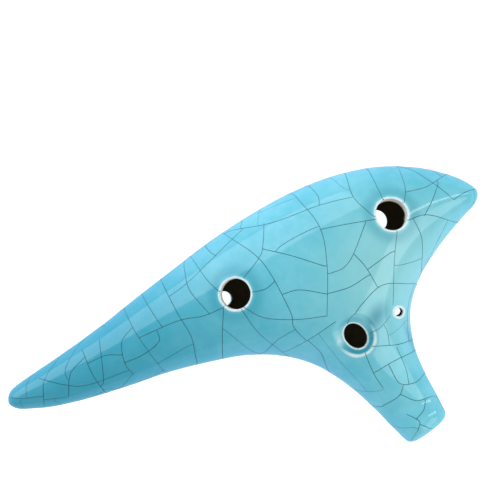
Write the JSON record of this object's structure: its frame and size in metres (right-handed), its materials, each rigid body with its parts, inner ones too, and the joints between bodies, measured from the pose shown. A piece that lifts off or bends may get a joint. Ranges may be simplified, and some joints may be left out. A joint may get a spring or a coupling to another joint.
{
  "type": "ocarina",
  "caption": "Glazed ceramic transverse ocarina: two moulded shells luted at a seam, tapered tail, beak, thumb and finger holes, and a side mouthpiece with airway slabs and a window blade.",
  "frame": {"origin": "under the middle of the box that the ocarina fills, on the flat land that it rests on", "axes": "+X from the tail tip to the beak tip, the mouthpiece towards -Y, +Z out of the thumb-hole side"},
  "size_m": [0.181, 0.0982, 0.0417],
  "materials": {
    "crackle_glaze": "glossy translucent turquoise glaze with a dark-stained crackle, thinning to white at the rims of the holes",
    "bare_clay": "matt unglazed fired clay, pale and slightly pink, grained"
  },
  "bodies": {
    "root": {"back_shell": "crackle_glaze", "front_shell": "crackle_glaze", "labium_blade": "crackle_glaze", "windway_floor": "bare_clay", "windway_roof": "bare_clay"}
  },
  "joints": []
}
